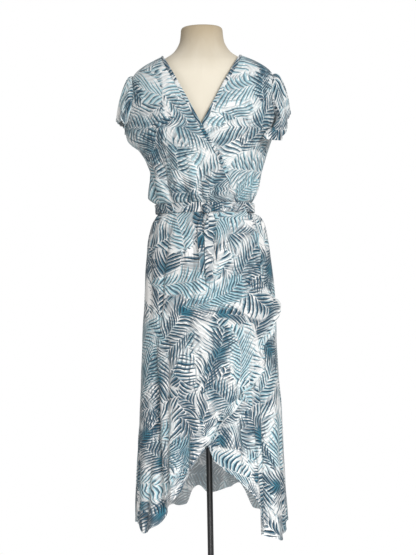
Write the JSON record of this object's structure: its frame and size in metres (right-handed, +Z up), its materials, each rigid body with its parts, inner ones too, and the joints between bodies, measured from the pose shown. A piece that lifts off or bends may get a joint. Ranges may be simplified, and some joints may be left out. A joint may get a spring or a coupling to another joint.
{
  "type": "wrap dress on a dress form",
  "caption": "Wrap dress with gathered cap sleeves, crossed V neck, tied belt and dipping hem, on a limbless dress form with a pole and a round base.",
  "frame": {"origin": "middle of the flat underside of the stand's base, on the floor, below the form's pole", "axes": "+Z up along the pole, -Y out of the dress's front, +X towards the wearer's left"},
  "size_m": [0.453, 0.3575, 1.536],
  "materials": {
    "print_cloth": "light woven viscose, off white with slate blue palm leaves, soft and matte",
    "print_binding": "narrow binding of the same printed cloth",
    "form_linen": "plain cream linen stretched smooth",
    "stand_black": "satin black paint"
  },
  "bodies": {
    "root": {"form_torso": "form_linen", "form_pole": "stand_black", "form_base": "stand_black", "bodice_back": "print_cloth", "bodice_front_over": "print_cloth", "bodice_front_under": "print_cloth", "sleeve_right": "print_cloth", "sleeve_left": "print_cloth", "neck_binding_over": "print_binding", "neck_binding_under": "print_binding", "neck_binding_back": "print_binding", "skirt_back": "print_cloth", "skirt_front_over": "print_cloth", "skirt_front_under": "print_cloth", "tie_belt": "print_cloth", "belt_loop": "print_binding", "tie_knot": "print_cloth", "tie_end_long": "print_cloth", "tie_end_short": "print_cloth"}
  },
  "joints": []
}
